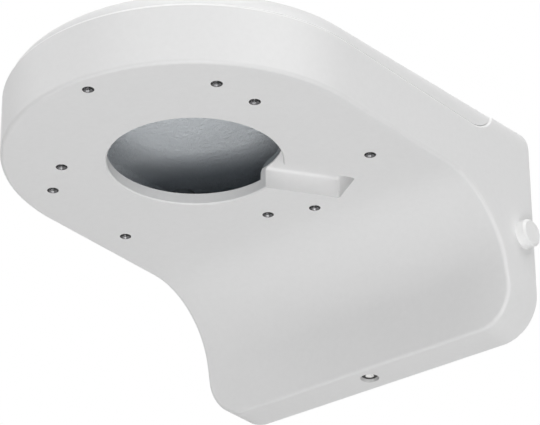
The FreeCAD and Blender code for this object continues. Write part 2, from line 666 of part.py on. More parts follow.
# Nine bosses for the camera screws, each with a threaded hole and its mouth
CIRCLES = [("InnerCircleRadius", "InnerCircleAngle"), ("MiddleCircleRadius", "MiddleCircleAngle"),
           ("OuterCircleRadius", "OuterCircleAngle")]
bosses = []
thread_cuts = []
for number, (radius, angle) in enumerate(CIRCLES, start=1):
    for step in (0, 120, 240):
        label = "_%d_%03d" % (number, step)
        boss = cylinder("boss" + label, "BossRadius", "RootDepth + BossRise", "0", "0", ROOT)
        core = cylinder("core" + label, "ThreadCoreRadius", "Excess + PlateThickness + BossRise + Excess",
                        "0", "0", "UndersideHeight - Excess")
        lead = cone("lead" + label, "ThreadMouthRadius", "ThreadCoreRadius", "ThreadMouthDepth",
                    "0", "0", "UndersideHeight")
        for feature in (boss, core, lead):
            on_head_circle(feature, radius, angle, step)
        bosses.append(boss)
        thread_cuts.extend([core, lead])

# Hump and trough of the cable channel, drawn along +Y from the head's axis and turned into place
def trough_block(name, wall, low, height):
    body = new_body(name)
    plan = new_sketch(body, name + "_plan", "XY_Plane", low)
    outline(plan, [
        ("0 - TroughInnerHalf - " + wall, "TroughStart"),
        ("0 - TroughOuterHalf - " + wall, "TroughEnd + " + wall),
        ("TroughOuterHalf + " + wall, "TroughEnd + " + wall),
        ("TroughInnerHalf + " + wall, "TroughStart"),
    ])
    pad(body, plan, name + "_block", height)
    return body


def side_corner(shape, edge):
    ends = [vertex.Point for vertex in edge.Vertexes]
    upright = abs(ends[0].x - ends[1].x) < 1e-6 and abs(ends[0].y - ends[1].y) < 1e-6
    return upright and ends[0].y > total("TroughStart") + 1


def high_edge(shape, edge):
    ends = [vertex.Point for vertex in edge.Vertexes]
    level = all(abs(end.z - shape.BoundBox.ZMax) < 1e-4 for end in ends)
    return level and max(end.y for end in ends) > total("TroughStart") + 1


trough_cut = trough_block("trough_cut", "0", "UndersideHeight - Excess", "Excess + TroughDepth")
round_edges(trough_cut, "trough_corners", "TroughRoofRadius", side_corner)
round_edges(trough_cut, "trough_roof", "TroughRoofRadius", high_edge)
hump = trough_block("hump", "TroughWall", ROOT, "TroughDepth + TroughWall - PlateThickness + RootDepth")
round_edges(hump, "hump_corners", "HumpRadius", side_corner)
round_edges(hump, "hump_roof", "HumpRadius", high_edge)
for feature in (trough_cut, hump):
    bind(feature, y="0 - Reach")
    turn_about_z(feature, "0 - TroughAngle")

cable_hole = cylinder("cable_hole", "CableHoleRadius", "Excess + BoxDrop", "0", "0 - Reach",
                      "UndersideHeight - Excess")
cable_bevel = cone("cable_bevel", "CableHoleRadius + CableHoleEdge", "CableHoleRadius", "CableHoleEdge",
                   "0", "0 - Reach", "UndersideHeight")

# Posts for the cover screws, and the ribs that hang in the wall plate's hooks
FRONT_POSTS = "0 - Reach - HeadRadius + FrontPostInset"
POSTS = [
    ("front_left", "0 - FrontPostSide", FRONT_POSTS, "FrontSeatRise"),
    ("front_right", "FrontPostSide", FRONT_POSTS, "FrontSeatRise"),
    ("rear_left", "0 - HeadRadius + RearPostInset", "0 - RearPostWall", "RearSeatRise"),
    ("rear_right", "HeadRadius - RearPostInset", "0 - RearPostWall", "RearSeatRise"),
]
posts = []
post_holes = []
for label, x, y, seat in POSTS:
    post_height = "PartingRise - PlateThickness + RootDepth - PostGap"
    posts.append(cylinder("post_" + label, "PostRadius", post_height, x, y, ROOT))
    depth = "Excess + CoverScrewLength + CoverScrewEnd - " + seat
    post_holes.append(cylinder("post_hole_" + label, "CoverScrewRadius + ThreadClearance", depth,
                               x, y, "%s + %s - CoverScrewLength - CoverScrewEnd" % (RIM, seat)))

SHELF = BOX_ROOF + " - HookDrop"
RIB_FRONT = "0 - HookReach + RibClearance"
ribs = []
for label, left in (("left", "0 - HookSide - RibHalfWidth"), ("right", "HookSide - RibHalfWidth")):
    body = new_body("rib_" + label)
    side = new_sketch(body, "rib_%s_side" % label, "YZ_Plane", left)
    outline(side, [
        (RIB_FRONT, SHELF),
        (RIB_FRONT + " + RibDepth", SHELF),
        (RIB_FRONT + " + RibDepth", BOX_ROOF + " + RootDepth"),
        (RIB_FRONT, BOX_ROOF + " + RootDepth"),
    ])
    pad(body, side, "rib_%s_block" % label, "RibHalfWidth + RibHalfWidth")
    round_edges(body, "rib_%s_edge" % label, "RibEdge",
                along_x_at([(RIB_FRONT, SHELF), (RIB_FRONT + " + RibDepth", SHELF)]))
    ribs.append(body)

# Lock screw's pad and hole in the box bottom
BOX_BOTTOM = "UndersideHeight - BoxDrop"
LOCK_SEAT = BOX_BOTTOM + " + LockRecess + LockHeadHeight"
lock_pad = cylinder("lock_pad", "LockPadRadius", "RootDepth + LockPadRise", "0", "0 - LockSetback",
                    BOX_FLOOR + " - RootDepth")
lock_hole = cylinder("lock_hole", "LockScrewRadius + ScrewClearance", "BoxDrop", "0", "0 - LockSetback",
                     BOX_BOTTOM + " - Excess")
lock_counterbore = cylinder("lock_counterbore", "LockHeadRadius + HeadClearance",
                            "Excess + LockRecess + LockHeadHeight", "0", "0 - LockSetback",
                            BOX_BOTTOM + " - Excess")

# Side cable entry: its parts are drawn about the X axis with the wall's outer face at zero
SIDE_FACE = ("Sizes.HeadRadius / cos(Sizes.SideTaper)"
             " + (Sizes.Reach - Sizes.PlugSetback) * tan(Sizes.SideTaper)")


def on_side_wall(feature):
    """Stands a part that is drawn along +X on the outer face of the +X side wall."""
    bind(feature, y="0 - PlugSetback", z="UndersideHeight - PlugDrop")
    feature.setExpression("Placement.Base.x", SIDE_FACE)
    return turn_about_z(feature, "0 - SideTaper")


plug_bore = new_body("plug_bore")
turn_profile(plug_bore, "plug_bore_turn", "XY_Plane", "H_Axis", [
    ("0 - PlugShankLength", "0"),
    ("Excess", "0"),
    ("Excess", "SealRadius + HeadClearance"),
    ("0 - SealThickness", "SealRadius + HeadClearance"),
    ("0 - SealThickness", "PlugShankRadius + PlugFit"),
    ("0 - PlugShankLength", "PlugShankRadius + PlugFit"),
])
on_side_wall(plug_bore)

solid = cut("casting_hollow", casting, hollow)
whole = fuse("casting_whole", [solid, hump, lock_pad] + bosses + posts + ribs)
openings = fuse("casting_openings", thread_cuts + post_holes + [
    trough_cut, cable_hole, cable_bevel, lock_hole, lock_counterbore, plug_bore, rebate])
bracket = cut("bracket_body", whole, openings)

# Cover: a block square to the sloping roof, leaned back on the rim, hollowed and cut off at the step,
# with a locating lip and screw pillars
COVER_SPACE = "CoverReveal + CoverWall"
ROOF_SLOPE = "(Sizes.WallRise - Sizes.FrontRise) / (Sizes.Reach + Sizes.HeadRadius)"
LEAN = "atan(%s)" % ROOF_SLOPE


def roofed(name, inset, top):
    """A block of the bracket's plan from below the rim up to the roof, drawn square to the roof."""
    body = prism(name, inset, "0 - RimGap", "0 - MouthDepth", "MouthDepth + WallRise - PartingRise")
    rise = "(Sizes.FrontRise + Sizes.HeadRadius * %s - Sizes.PartingRise) * cos(%s)" % (ROOF_SLOPE, LEAN)
    body.Tip.setExpression("Length", "Sizes.MouthDepth + %s - (%s)" % (rise, bound(top)))
    document.recompute()
    return body


def lean_back(body):
    """Leans a block about the level line through the head's axis, from z = 0 of the block to the rim."""
    body.Placement.Rotation = FreeCAD.Rotation(FreeCAD.Vector(1, 0, 0), 1.0)
    body.setExpression("Placement.Rotation.Angle", LEAN)
    body.setExpression("Placement.Base.y", "Sizes.Reach * cos(%s) - Sizes.Reach" % LEAN)
    body.setExpression("Placement.Base.z", "%s + Sizes.Reach * sin(%s)" % (bound(RIM), LEAN))
    document.recompute()
    return body


LIP_INSET = "WallThickness + LipClearance"
LIP_REAR = "0 - StepStart - LedgeDepth - LipClearance"
cover_form = roofed("cover_form", "CoverReveal", "CoverReveal")
round_edges(cover_form, "cover_form_roof_edge", "TopRadius - CoverReveal", roof_edge)
lean_back(cover_form)
cover_front = step_block("cover_front", "0", "JointGap", "StepRadius", str(FAR))
cover_block = common("cover_block", [cover_form, cover_front])
cover_space = roofed("cover_space", COVER_SPACE, "CoverReveal + CoverThickness")
bevel_edges(cover_space, "cover_space_roof_edge", "CoverRoomBevel", roof_edge)
lean_back(cover_space)
cover_space_front = step_block("cover_space_front", "LipRise", "JointGap", "StepRadius - CoverThickness",
                               str(FAR))
cover_room = common("cover_room", [cover_space, cover_space_front])
lip_block = prism("lip_block", LIP_INSET, LIP_REAR, RIM + " - LipDepth", "LipDepth + Excess")
lip_room = prism("lip_room", LIP_INSET + " + LipThickness", LIP_REAR + " - LipThickness",
                 RIM + " - LipDepth - Excess", "Excess + LipDepth + LipRise + Excess")
cover_with_lip = fuse("cover_with_lip", [cover_block, lip_block])
cover_rooms = fuse("cover_rooms", [cover_room, lip_room])
shell = cut("cover_shell", cover_with_lip, cover_rooms)
pillars = []
cover_bores = []
for label, x, y, seat in POSTS:
    pillars.append(cylinder("pillar_" + label, "PillarRadius", "WallRise", x, y, RIM))
    cover_bores.append(cylinder("cover_bore_" + label, "CoverScrewRadius + ScrewClearance", "WallRise",
                                x, y, RIM + " - LipDepth - Excess"))
    cover_bores.append(cylinder("cover_seat_" + label, "CoverHeadRadius + HeadClearance", "WallRise",
                                x, y, RIM + " + " + seat))
pillars_in_form = common("pillars_in_form", [fuse("pillars", pillars), cover_form])
cover_with_pillars = fuse("cover_with_pillars", [shell, pillars_in_form])
top_cover = cut("top_cover", cover_with_pillars, fuse("cover_bores", cover_bores))


# Screws stand on their seats along +Z: head above zero, shank below

def screw(name, shank, length, head, height, socket):
    """A cylinder-head screw with a six-sided socket in its head."""
    body = new_body(name)
    turn_profile(body, name + "_turn", "XZ_Plane", "V_Axis", [
        ("0", "0 - " + length),
        (shank + " - HeadEdge", "0 - " + length),
        (shank, "0 - %s + HeadEdge" % length),
        (shank, "0"),
        (head, "0"),
        (head, height + " - HeadEdge"),
        (head + " - HeadEdge", height),
        ("0", height),
    ])
    plan = new_sketch(body, name + "_socket_plan", "XY_Plane", height + " - SocketDepth")
    reach = total(socket)
    turns = [math.radians(60 * number) for number in range(6)]
    spots = [(reach * math.cos(turn), reach * math.sin(turn)) for turn in turns]
    guide = plan.addGeometry(Part.Circle(point(0, 0), FreeCAD.Vector(0, 0, 1), reach), True)
    plan.addConstraint(Sketcher.Constraint("Coincident", guide, 3, -1, 1))
    fix(plan, "Socket", "Radius", guide, socket)
    lines = []
    for start, end in zip(spots, spots[1:] + spots[:1]):
        lines.append(plan.addGeometry(Part.LineSegment(point(*start), point(*end)), False))
    for first, second in zip(lines, lines[1:] + lines[:1]):
        plan.addConstraint(Sketcher.Constraint("Coincident", first, 2, second, 1))
    for line in lines:
        plan.addConstraint(Sketcher.Constraint("PointOnObject", line, 1, guide))
    for line in lines[1:]:
        plan.addConstraint(Sketcher.Constraint("Equal", lines[0], line))
    plan.addConstraint(Sketcher.Constraint("PointOnObject", lines[0], 1, -1))
    pocket = body.newObject("PartDesign::Pocket", name + "_socket")
    pocket.Profile = plan
    pocket.Reversed = True
    pocket.setExpression("Length", bound("SocketDepth + Excess"))
    plan.Visibility = False
    whole_screw = body.Shape.Volume
    document.recompute()
    if not body.Shape.Volume < whole_screw:
        raise RuntimeError(name + " has no socket")
    return body


cover_screw_list = []
for label, x, y, seat in POSTS:
    one = screw("cover_screw_" + label, "CoverScrewRadius", "CoverScrewLength", "CoverHeadRadius",
                "CoverHeadHeight", "CoverSocketRadius")
    cover_screw_list.append(bind(one, x=x, y=y, z=RIM + " + " + seat))
cover_screws = document.addObject("Part::Compound", "cover_screws")
cover_screws.Links = cover_screw_list

lock_screw = screw("lock_screw", "LockScrewRadius", "LockScrewLength", "LockHeadRadius", "LockHeadHeight",
                   "LockSocketRadius")
lock_screw.Placement.Rotation = FreeCAD.Rotation(FreeCAD.Vector(1, 0, 0), 180)
bind(lock_screw, y="0 - LockSetback", z=LOCK_SEAT)

# Steel plate on the wall: two hooks at the top, a threaded tab at the bottom, four fixing slots
FRONT = "0 - WallPlateThickness"
wall_plate = new_body("wall_hook_plate")
sheet_outline = new_sketch(wall_plate, "plate_outline", "XZ_Plane")
outline(sheet_outline, [
    ("0 - WallPlateHalfWidth", "0 - WallPlateHalfHeight"),
    ("WallPlateHalfWidth", "0 - WallPlateHalfHeight"),
    ("WallPlateHalfWidth", "WallPlateHalfHeight"),
    ("0 - WallPlateHalfWidth", "WallPlateHalfHeight"),
])
pad(wall_plate, sheet_outline, "plate_sheet", "WallPlateThickness")


def sheet_corner(shape, edge):
    ends = [vertex.Point for vertex in edge.Vertexes]
    return abs(ends[0].x - ends[1].x) < 1e-6 and abs(ends[0].z - ends[1].z) < 1e-6


round_edges(wall_plate, "plate_corners", "WallPlateCorner", sheet_corner)

hook_side = new_sketch(wall_plate, "hook_side", "YZ_Plane", "HookSide - HookHalfWidth")
outline(hook_side, [
    ("0", "WallPlateHalfHeight - BendRadius"),
    ("0", SHELF),
    ("0 - HookReach", SHELF),
    ("0 - HookReach", SHELF + " + HookLip"),
    ("0 - HookReach - WallPlateThickness", SHELF + " + HookLip"),
    ("0 - HookReach - WallPlateThickness", SHELF + " - WallPlateThickness"),
    (FRONT, SHELF + " - WallPlateThickness"),
    (FRONT, "WallPlateHalfHeight - BendRadius"),
])
hook = pad(wall_plate, hook_side, "hook", "HookHalfWidth + HookHalfWidth")
hooks = wall_plate.newObject("PartDesign::Mirrored", "hooks")
hooks.Originals = [hook]
symmetry = next(item for item in wall_plate.Origin.OriginFeatures if item.Role == "YZ_Plane")
hooks.MirrorPlane = (symmetry, [""])
wall_plate.Tip = hooks
document.recompute()

TAB_LOW = BOX_FLOOR + " + LockPadRise + TabClearance"
tab_side = new_sketch(wall_plate, "tab_side", "YZ_Plane")
outline(tab_side, [
    ("0", "0 - WallPlateHalfHeight + BendRadius"),
    (FRONT, "0 - WallPlateHalfHeight + BendRadius"),
    (FRONT, TAB_LOW + " + WallPlateThickness"),
    ("0 - TabReach", TAB_LOW + " + WallPlateThickness"),
    ("0 - TabReach", TAB_LOW),
    ("0", TAB_LOW),
])
pad(wall_plate, tab_side, "tab", "TabHalfWidth + TabHalfWidth", True)
round_edges(wall_plate, "bends_inside", "BendRadius", along_x_at([
    (FRONT, SHELF + " - WallPlateThickness"),
    ("0 - HookReach", SHELF),
    (FRONT, TAB_LOW + " + WallPlateThickness"),
]))
round_edges(wall_plate, "bends_outside", "BendRadius + WallPlateThickness", along_x_at([
    ("0", SHELF),
    ("0 - HookReach - WallPlateThickness", SHELF + " - WallPlateThickness"),
    ("0", TAB_LOW),
]))
collar_plan = new_sketch(wall_plate, "collar_plan", "XY_Plane", TAB_LOW)
circle(collar_plan, "0", "0 - LockSetback", "NutRadius", "Collar")
pad(wall_plate, collar_plan, "collar", "WallPlateThickness + NutHeight")
thread_plan = new_sketch(wall_plate, "thread_plan", "XY_Plane")
circle(thread_plan, "0", "0 - LockSetback", "LockScrewRadius + ThreadClearance", "Thread")
cut_through(wall_plate, thread_plan, "thread")
fixing_plan = new_sketch(wall_plate, "fixing_plan", "XZ_Plane")
circle(fixing_plan, "0", "0", "WallCableRadius", "Cable")
for label, y in (("Low", "0 - FixingUp"), ("High", "FixingUp")):
    slot(fixing_plan, "0 - FixingSide", y, "FixingSlot", "FixingRadius", label + "Left")
    slot(fixing_plan, "FixingSide", y, "FixingSlot", "FixingRadius", label + "Right")
cut_through(wall_plate, fixing_plan, "fixings")

# Gasket in the rear rim, and the plug of the side cable entry with its rubber ring
GASKET_EDGE = "RebateWall + GasketFit"
gasket_form = form("gasket_form", GASKET_EDGE, "0", "0", GASKET_EDGE, GASKET_EDGE)
gasket_slab = box("gasket_slab", "0 - Reach", "0 - GasketThickness", "0 - BoxDrop - BoxDrop",
                  "Reach + Reach", "GasketThickness", "BoxDrop + BoxDrop + BoxDrop + BoxDrop")
wall_gasket = cut("wall_gasket", common("gasket_block", [gasket_form, gasket_slab]), cavity)

cable_plug = new_body("cable_plug")
turn_profile(cable_plug, "plug_turn", "XY_Plane", "H_Axis", [
    ("0 - PlugShankLength", "0"),
    ("PlugHeadHeight", "0"),
    ("PlugHeadHeight", "PlugHeadRadius - PlugHeadBevel"),
    ("PlugHeadHeight - PlugHeadBevel", "PlugHeadRadius"),
    ("0", "PlugHeadRadius"),
    ("0", "PlugShankRadius"),
    ("0 - WallThickness - PlugGrip", "PlugShankRadius"),
    ("0 - WallThickness - PlugGrip", "PlugShankRadius + PlugRidge"),
    ("0 - WallThickness - PlugGrip - PlugRidgeLength", "PlugShankRadius + PlugRidge"),
    ("0 - PlugShankLength", "PlugShankRadius - PlugRidge"),
])
on_side_wall(cable_plug)

cable_plug_seal = new_body("cable_plug_seal")
turn_profile(cable_plug_seal, "seal_turn", "XY_Plane", "H_Axis", [
    ("0 - SealThickness", "PlugShankRadius + SealFit"),
    ("0", "PlugShankRadius + SealFit"),
    ("0", "SealRadius"),
    ("0 - SealThickness", "SealRadius"),
])
on_side_wall(cable_plug_seal)
document.recompute()

NODES = {
    "bracket_body": bracket,
    "top_cover": top_cover,
    "cover_screws": cover_screws,
    "wall_hook_plate": wall_plate,
    "wall_gasket": wall_gasket,
    "lock_screw": lock_screw,
    "cable_plug": cable_plug,
    "cable_plug_seal": cable_plug_seal,
}
for feature in document.Objects:
    if "Invalid" in feature.State or "Error" in feature.State:
        raise RuntimeError("%s is not built: %s" % (feature.Name, feature.State))
os.makedirs("parts", exist_ok=True)
for name, node in NODES.items():
    node.Label = name
    if node.Shape.isNull() or not node.Shape.isValid():
        raise RuntimeError(name + " has no valid shape")
    node.Shape.exportStep("parts/%s.step" % name)
    print(name, len(node.Shape.Solids), "solids", round(node.Shape.Volume), "mm3")
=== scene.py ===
import math
from collections import namedtuple

import bpy
import numpy as np
from mathutils import Matrix, Vector


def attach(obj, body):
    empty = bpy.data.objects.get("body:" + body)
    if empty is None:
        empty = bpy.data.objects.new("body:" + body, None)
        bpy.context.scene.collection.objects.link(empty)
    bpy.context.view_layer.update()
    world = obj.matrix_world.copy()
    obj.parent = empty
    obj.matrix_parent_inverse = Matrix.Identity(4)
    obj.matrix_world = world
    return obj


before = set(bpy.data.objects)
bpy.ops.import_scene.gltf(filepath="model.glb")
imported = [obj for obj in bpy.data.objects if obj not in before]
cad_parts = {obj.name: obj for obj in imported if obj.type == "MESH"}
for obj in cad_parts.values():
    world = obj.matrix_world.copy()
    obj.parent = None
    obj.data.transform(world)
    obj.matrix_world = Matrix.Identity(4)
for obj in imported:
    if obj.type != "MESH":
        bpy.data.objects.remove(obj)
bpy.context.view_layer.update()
MM = 0.001
UP = (0, 0, 1)
TO_WALL = (0, 1, 0)
WHITE = (1, 1, 1)

# Camera: its place, its aim and its lens, as they were when the photo was taken
IMAGE_WIDTH = 540
FOCAL_PIXELS = 2909.05
SENSOR_WIDTH = 36.0
FOCAL_LENGTH = FOCAL_PIXELS * SENSOR_WIDTH / IMAGE_WIDTH
CAMERA_AZIMUTH = math.radians(38.453)
CAMERA_RISE = math.radians(28.093)
CAMERA_ROLL = math.radians(-0.577)
CAMERA_PLACE = Vector((0.6749, -0.9275, -0.5763))
FARTHEST_SEEN = 20

# Camera screw holes: circles round the head's axis, each with its radius and the angle of its first hole,
# in degrees from the front towards +X
HEAD_AXIS = np.array([0, -127 * MM, 0])
HOLE_CIRCLES = ((55.1 * MM, 65.6), (64.2 * MM, 47.7), (72.2 * MM, 4.5))
HOLES_PER_CIRCLE = 3

# Mouth of a hole, at the plate's lower face: a thin rim with a wider back that is buried in the casting, then
# a cone up to the thread
PLATE_LOW = 6 * MM
MOUTH_RADIUS = 2.43 * MM
MOUTH_INSIDE = 2.1 * MM
MOUTH_DEPTH = 0.77 * MM
MOUTH_BACK = 2.52 * MM
MOUTH_WALL = 0.04 * MM

# M4 thread of a hole, inside a sleeve that is buried in the casting
THREAD_START = PLATE_LOW + 0.8 * MM
THREAD_END = PLATE_LOW + 5.7 * MM
THREAD_PITCH = 0.7 * MM
THREAD_ROOT = 1.62 * MM
THREAD_CREST = 1.42 * MM
SLEEVE_RADIUS = 1.72 * MM
STEPS_ROUND = 64
STEPS_PER_PITCH = 4

# Inside of the hollow arm, where the castings are bare: a point in its middle, the heights between which the
# casting and the cover show it, given at the wall, and how the roof falls from there along the reach
HOLLOW_MIDDLE = (0, -110 * MM, 36 * MM)
HOLLOW_LOW = 16 * MM
CASTING_HIGH = 32.9 * MM
COVER_HIGH = 48.7 * MM
ROOF_SLOPE = 7.7 / 207

# Bare, bluish casting with painted light and shade: its colour on the roof near the opening, brightened as
# painted light, and deep in the arm, darkened as painted shade, its colour on upright walls, darkened as
# painted shade, the way along which the painted shade deepens, and how much coarser than the paint it is
BARE_PAINTED_LIGHT_NEAR = (0.925, 0.965, 1.0)
BARE_PAINTED_SHADE_DEEP = (0.40, 0.44, 0.485)
BARE_PAINTED_SHADE_UPRIGHT = (0.22, 0.24, 0.26)
SHADE_DEEPENS = (-0.45, 1, 0)
SHADE_START = -65 * MM
SHADE_END = -38 * MM
BARE_COARSENESS = 100.0

# Joint of the casting and the cover: a painted highlight on its rounded edges, between two heights round the
# head and on the faces that climb in front of the wall box
JOINT_LOW = 32.0 * MM
JOINT_HIGH = 33.5 * MM
JOINT_TILT = 0.1
STEP_START = -60 * MM
STEP_END = 0.0
STEP_TILT = 0.2
JOINT_PAINTED_HIGHLIGHT = (0.96, 0.96, 0.96)

# Lock screw's axis and how far the painted highlight in its socket reaches from it, and the painted shadow on
# the rims of the camera screw holes
LOCK_AXIS = (0, -9.7 * MM, 0)
SOCKET_REACH = 1.85 * MM
SOCKET_PAINTED_HIGHLIGHT = (0.9, 0.9, 0.89)
RIM_PAINTED_SHADOW = (0.03, 0.03, 0.03)

# A grained material, its tree, the inputs of its shader and of its bump, and its object coordinates
Surface = namedtuple("Surface", "material tree shader bump place")

# Grain of all surfaces: how detailed its two noises are, and the range in which their values mostly lie
FINE_DETAIL = 3
COARSE_DETAIL = 4
NOISE_LOW = 0.3
NOISE_HIGH = 0.7

# Studio: a pale floor that shows brighter than it lights, an even world, and round lamps
FLOOR_HEIGHT = -1.4
FLOOR_REACH = 6.0
FLOOR_COLOUR = (0.85, 0.85, 0.85)
FLOOR_ROUGHNESS = 0.9
FLOOR_GLOW = 0.6
WORLD_STRENGTH = 0.24
BRACKET_MIDDLE = Vector((0, -0.1, 0))

# Lamps: name, degrees from the front towards +X, degrees up, distance, diameter and watts
LAMPS = (
    ("front", 38.5, -28, 1.5, 0.3, 2.0),
    ("low_front", 38.5, -47, 1.5, 0.6, 7.0),
    ("low_right", 78, -30, 1.5, 0.7, 2.8),
    ("high_front", 5, 35, 1.8, 1.2, 5.0),
    ("right", 93.5, 45, 1.8, 1.2, 10),
    ("top", 26.5, 75, 1.75, 1.4, 10),
    ("left", -56.5, 35, 1.8, 1.2, 5.8),
)


def feed(tree, value, slot):
    """Gives an input its value: a socket, a number, a direction or a colour."""
    if isinstance(value, bpy.types.NodeSocket):
        tree.links.new(value, slot)
    elif slot.type == "RGBA":
        slot.default_value = (*value, 1)
    else:
        slot.default_value = value


def combine(tree, operation, first, second=0.0):
    """One step of sums on two numbers."""
    step = tree.nodes.new("ShaderNodeMath")
    step.operation = operation
    feed(tree, first, step.inputs[0])
    feed(tree, second, step.inputs[1])
    return step.outputs["Value"]


def combine_vectors(tree, operation, first, second, result="Vector"):
    """One step of sums on two vectors, which results in a vector or in one value."""
    step = tree.nodes.new("ShaderNodeVectorMath")
    step.operation = operation
    feed(tree, first, step.inputs[0])
    feed(tree, second, step.inputs[1])
    return step.outputs[result]


def along(tree, place, direction):
    """The distance of a place along a direction."""
    return combine_vectors(tree, "DOT_PRODUCT", place, direction, "Value")


def within(tree, value, low, high):
    """1 where a value lies between two limits, and 0 elsewhere."""
    above = combine(tree, "GREATER_THAN", value, low)
    below = combine(tree, "LESS_THAN", value, high)
    return combine(tree, "MULTIPLY", above, below)


def ranged(tree, value, start, end, low=0.0, high=1.0):
    """Stretches the values between two limits to those between two ends."""
    stretch = tree.nodes.new("ShaderNodeMapRange")
    feed(tree, value, stretch.inputs["Value"])
    feed(tree, start, stretch.inputs["From Min"])
    feed(tree, end, stretch.inputs["From Max"])
    feed(tree, low, stretch.inputs["To Min"])
    feed(tree, high, stretch.inputs["To Max"])
    return stretch.outputs["Result"]


def mixed(tree, share, first, second):
    """A colour between two colours: the first where the share is 0, the second where it is 1."""
    mix = tree.nodes.new("ShaderNodeMix")
    mix.data_type = "RGBA"
    feed(tree, share, mix.inputs["Factor"])
    feed(tree, first, mix.inputs["A"])
    feed(tree, second, mix.inputs["B"])
    return mix.outputs["Result"]


def add_grain_group():
    """Fine and coarse noise over a surface: a height for bumps, and masks for colour and roughness."""
    group = bpy.data.node_groups.new("surface_grain", "ShaderNodeTree")
    group.interface.new_socket("Place", in_out="INPUT", socket_type="NodeSocketVector")
    for name in ("Fine Scale", "Coarse Scale", "Fine Share"):
        group.interface.new_socket(name, in_out="INPUT", socket_type="NodeSocketFloat")
    for name in ("Height", "Fine", "Coarse"):
        group.interface.new_socket(name, in_out="OUTPUT", socket_type="NodeSocketFloat")
    given = group.nodes.new("NodeGroupInput").outputs
    result = group.nodes.new("NodeGroupOutput").inputs
    mix = group.nodes.new("ShaderNodeMix")
    group.links.new(given["Fine Share"], mix.inputs["Factor"])
    group.links.new(mix.outputs["Result"], result["Height"])
    for name, detail, end in (("Fine", FINE_DETAIL, "B"), ("Coarse", COARSE_DETAIL, "A")):
        noise = group.nodes.new("ShaderNodeTexNoise")
        noise.inputs["Detail"].default_value = detail
        group.links.new(given["Place"], noise.inputs["Vector"])
        group.links.new(given[name + " Scale"], noise.inputs["Scale"])
        group.links.new(noise.outputs["Fac"], mix.inputs[end])
        group.links.new(noise.outputs["Fac"], result[name])


def new_material(name, colour, roughness, metallic=0.0):
    """A plain material, with its tree and the inputs of its shader."""
    material = bpy.data.materials.new(name)
    material.use_nodes = True
    tree = material.node_tree
    shader = tree.nodes["Principled BSDF"].inputs
    feed(tree, colour, shader["Base Color"])
    feed(tree, roughness, shader["Roughness"])
    feed(tree, metallic, shader["Metallic"])
    return material, tree, shader


def grained(name, colours, roughness, fine_scale, coarse_scale, fine_share, relief, metallic=0.0):
    """A material whose colour, roughness and bumps all follow the surface grain.

    Both scales are in cells per metre, and the relief is the height of the bumps.
    """
    material, tree, shader = new_material(name, colours[0], roughness[0], metallic)
    place = tree.nodes.new("ShaderNodeTexCoord").outputs["Object"]
    grain = tree.nodes.new("ShaderNodeGroup")
    grain.node_tree = bpy.data.node_groups["surface_grain"]
    feed(tree, place, grain.inputs["Place"])
    feed(tree, fine_scale, grain.inputs["Fine Scale"])
    feed(tree, coarse_scale, grain.inputs["Coarse Scale"])
    feed(tree, fine_share, grain.inputs["Fine Share"])
    bump = tree.nodes.new("ShaderNodeBump")
    feed(tree, 1.0, bump.inputs["Strength"])
    feed(tree, relief, bump.inputs["Distance"])
    feed(tree, grain.outputs["Height"], bump.inputs["Height"])
    feed(tree, bump.outputs["Normal"], shader["Normal"])
    cloud = ranged(tree, grain.outputs["Coarse"], NOISE_LOW, NOISE_HIGH)
    feed(tree, mixed(tree, cloud, *colours), shader["Base Color"])
    feed(tree, ranged(tree, grain.outputs["Fine"], NOISE_LOW, NOISE_HIGH, *roughness), shader["Roughness"])
    return Surface(material, tree, shader, bump.inputs, place)


def recolour(surface, share, colour):
    """Lays another colour over a surface's own, where a mask is 1."""
    own = surface.shader["Base Color"].links[0].from_socket
    feed(surface.tree, mixed(surface.tree, share, own, colour), surface.shader["Base Color"])


def hollow_mask(tree, place, faces, high):
    """1 on the faces that look at the middle of the hollow arm, from above its plate to below its roof.

    A face looks at the middle where its normal and the way from the middle to it point apart.
    """
    from_middle = combine_vectors(tree, "SUBTRACT", place, HOLLOW_MIDDLE)
    inward = combine(tree, "LESS_THAN", along(tree, from_middle, faces), 0.0)
    above = combine(tree, "GREATER_THAN", along(tree, place, UP), HOLLOW_LOW)
    below = combine(tree, "LESS_THAN", along(tree, place, (0, -ROOF_SLOPE, 1)), high)
    return combine(tree, "MULTIPLY", inward, combine(tree, "MULTIPLY", above, below))


def joint_highlight_mask(tree, place, faces):
    """1 on the rounded, level and climbing faces where the casting and the cover meet, which get a painted
    highlight.
    """
    height = along(tree, place, UP)
    tilt = combine(tree, "ABSOLUTE", along(tree, faces, UP))
    facing = combine(tree, "ABSOLUTE", along(tree, faces, TO_WALL))
    at_step = within(tree, along(tree, place, TO_WALL), STEP_START, STEP_END)
    climbing = combine(tree, "MULTIPLY", at_step, combine(tree, "GREATER_THAN", facing, STEP_TILT))
    climbing = combine(tree, "MULTIPLY", climbing, combine(tree, "GREATER_THAN", height, JOINT_LOW))
    level = within(tree, height, JOINT_LOW, JOINT_HIGH)
    return combine(tree, "MULTIPLY", combine(tree, "GREATER_THAN", tilt, JOINT_TILT),
                   combine(tree, "MAXIMUM", level, climbing))


def bare_casting_with_painted_shade(tree, place, faces):
    """The bare casting's colour with painted light and shade: brighter near the opening, and darker as
    painted shade on upright walls and deeper in the arm.
    """
    depth = ranged(tree, along(tree, place, SHADE_DEEPENS), SHADE_START, SHADE_END)
    level = combine(tree, "ABSOLUTE", along(tree, faces, UP))
    return mixed(tree, level, BARE_PAINTED_SHADE_UPRIGHT, mixed(tree, depth, BARE_PAINTED_LIGHT_NEAR, BARE_PAINTED_SHADE_DEEP))


